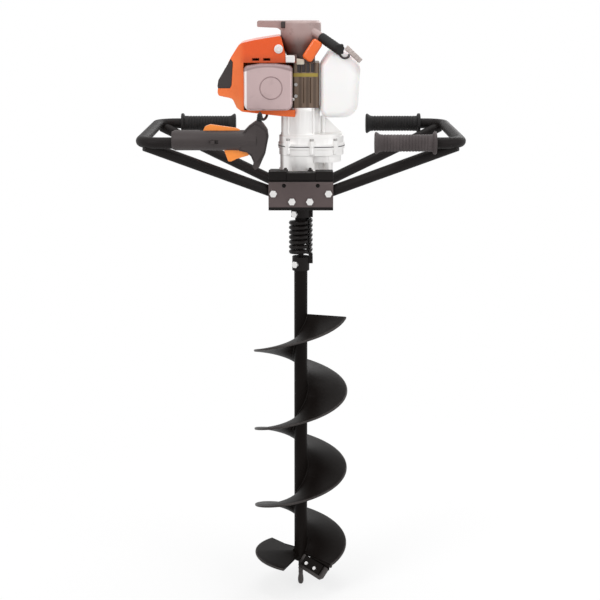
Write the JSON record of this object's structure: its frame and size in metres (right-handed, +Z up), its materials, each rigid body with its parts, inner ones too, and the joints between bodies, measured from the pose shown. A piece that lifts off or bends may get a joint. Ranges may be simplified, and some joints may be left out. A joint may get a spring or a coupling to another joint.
{
  "type": "earth auger",
  "caption": "Handheld petrol earth auger: engine, clutch and gearbox on a tubular twin-handle frame turn a helical soil bit through a coil-spring coupling.",
  "frame": {"origin": "tip of the bit's pilot point, on the bit's axis", "axes": "+Z up along the bit's axis to the engine, -Y to the operator side with the throttle handle and starter grip, +X to the fuel tank"},
  "size_m": [0.644, 0.4263, 1.223],
  "materials": {
    "black_paint": "satin powder coat",
    "black_plastic": "fine moulded grain",
    "grip_rubber": "soft moulded rubber",
    "blade_steel": "ground",
    "bright_steel": "zinc plated",
    "gear_steel": "machined",
    "spring_steel": "black oxide",
    "cast_aluminium": "die cast",
    "engine_aluminium": "dark cast",
    "muffler_metal": "silver coat",
    "orange_plastic": "gloss moulded",
    "grey_plastic": "moulded",
    "tank_plastic": "milky blow moulded",
    "cap_plastic": "moulded",
    "rope_fibre": "braided"
  },
  "bodies": {
    "frame": {"bracket": "black_paint", "gearbox_clamps": "black_paint", "frame_bolts": "bright_steel", "strut_front_left": "black_paint", "strut_front_right": "black_paint", "strut_back_left": "black_paint", "strut_back_right": "black_paint", "handlebar_left": "black_paint", "handlebar_right": "black_paint", "grip_front_right": "grip_rubber", "grip_back_right": "grip_rubber", "grip_back_left": "grip_rubber", "handle_shell_front": "black_plastic", "handle_shell_back": "black_plastic", "throttle_cable": "grip_rubber", "gearbox_lower": "cast_aluminium", "gearbox_upper": "cast_aluminium", "gearbox_bearings": "gear_steel", "clutch_housing": "cast_aluminium", "crankcase": "engine_aluminium", "engine_cylinder": "engine_aluminium", "muffler": "muffler_metal", "shroud": "orange_plastic", "vent_grille": "black_plastic", "carburettor": "cast_aluminium", "air_filter_cover": "black_plastic", "starter_housing": "grey_plastic", "starter_rope": "rope_fibre", "fuel_tank": "tank_plastic", "tank_buffer": "grip_rubber"},
    "drive": {"output_shaft": "gear_steel", "output_wheel": "gear_steel", "upper_hub": "black_paint", "hub_bolt": "bright_steel", "coupling_spring": "spring_steel"},
    "bit": {"auger_tube": "black_paint", "flight_upper": "black_paint", "flight_middle": "black_paint", "flight_lower": "black_paint", "second_flight": "black_paint", "blade_holders": "black_paint", "cutting_blades": "blade_steel", "blade_bolts": "bright_steel", "pilot_point": "blade_steel", "lower_hub": "black_paint", "bit_bolt": "bright_steel"},
    "layshaft": {"layshaft": "gear_steel"},
    "input": {"input_pinion": "gear_steel", "clutch_drum": "gear_steel"},
    "rotor": {"crankshaft": "gear_steel", "flywheel": "cast_aluminium", "clutch_shoes": "gear_steel"},
    "pulley": {"starter_pulley": "black_plastic"},
    "pull_grip": {"starter_grip": "orange_plastic"},
    "trigger": {"throttle_trigger": "orange_plastic"},
    "lock": {"lock_lever": "orange_plastic"},
    "switch": {"stop_switch": "black_plastic"},
    "carb_arm": {"throttle_arm": "bright_steel"},
    "choke": {"choke_lever": "black_plastic"},
    "cap": {"fuel_cap": "cap_plastic"}
  },
  "joints": [
    {"name": "drive_spin", "type": "hinge", "parent": "frame", "child": "drive", "pos_m": [0, 0, 0.83], "axis": [0, 0, 1], "continuous": true},
    {"name": "spring_twist", "type": "hinge", "parent": "drive", "child": "bit", "pos_m": [0, 0, 0.78], "axis": [0, 0, 1], "range_deg": [-10, 30], "stiffness_Nm_per_rad": 88, "deforming": ["coupling_spring"]},
    {"name": "layshaft_spin", "type": "hinge", "parent": "frame", "child": "layshaft", "pos_m": [0.04375, 0, 0.95], "axis": [0, 0, 1], "continuous": true},
    {"name": "input_spin", "type": "hinge", "parent": "frame", "child": "input", "pos_m": [0, 0, 0.99], "axis": [0, 0, 1], "continuous": true},
    {"name": "crank_spin", "type": "hinge", "parent": "frame", "child": "rotor", "pos_m": [0, 0, 1.1], "axis": [0, 0, 1], "continuous": true},
    {"name": "starter_pull", "type": "slide", "parent": "frame", "child": "pull_grip", "axis": [0, -1, 0], "range_m": [0, 0.55], "stiffness_N_per_m": 20, "springref_m": -0.3, "deforming": ["starter_rope"]},
    {"name": "pulley_spin", "type": "hinge", "parent": "frame", "child": "pulley", "pos_m": [0, 0, 1.166], "axis": [0, 0, 1], "range_deg": [-1371, 0]},
    {"name": "trigger_squeeze", "type": "hinge", "parent": "frame", "child": "trigger", "pos_m": [-0.106, -0.19, 0.989], "axis": [0, 1, 0], "range_deg": [0, 20], "stiffness_Nm_per_rad": 0.6, "springref_deg": -11.46},
    {"name": "lock_press", "type": "hinge", "parent": "frame", "child": "lock", "pos_m": [-0.122, -0.19, 1.011], "axis": [0, -1, 0], "range_deg": [0, 5], "stiffness_Nm_per_rad": 0.6, "springref_deg": -5.73},
    {"name": "switch_slide", "type": "slide", "parent": "frame", "child": "switch", "axis": [1, 0, 0], "range_m": [0, 0.006]},
    {"name": "throttle_turn", "type": "hinge", "parent": "frame", "child": "carb_arm", "pos_m": [-0.064, 0.0645, 1.118], "axis": [0, 0, 1], "range_deg": [0, 45]},
    {"name": "choke_turn", "type": "hinge", "parent": "frame", "child": "choke", "pos_m": [-0.108, 0.094, 1.1], "axis": [-1, 0, 0], "range_deg": [0, 60]},
    {"name": "cap_unscrew", "type": "hinge", "parent": "frame", "child": "cap", "pos_m": [0.1035, 0.003, 1.152], "axis": [0.6854, 0, 0.7282], "range_deg": [0, 360]}
  ],
  "couplings": [
    {"joint": "layshaft_spin", "follows": "drive_spin", "ratio": -4},
    {"joint": "input_spin", "follows": "drive_spin", "ratio": 19.333},
    {"joint": "pulley_spin", "follows": "starter_pull", "rad_per_m": -43.478},
    {"joint": "throttle_turn", "follows": "trigger_squeeze", "ratio": 2.25}
  ]
}
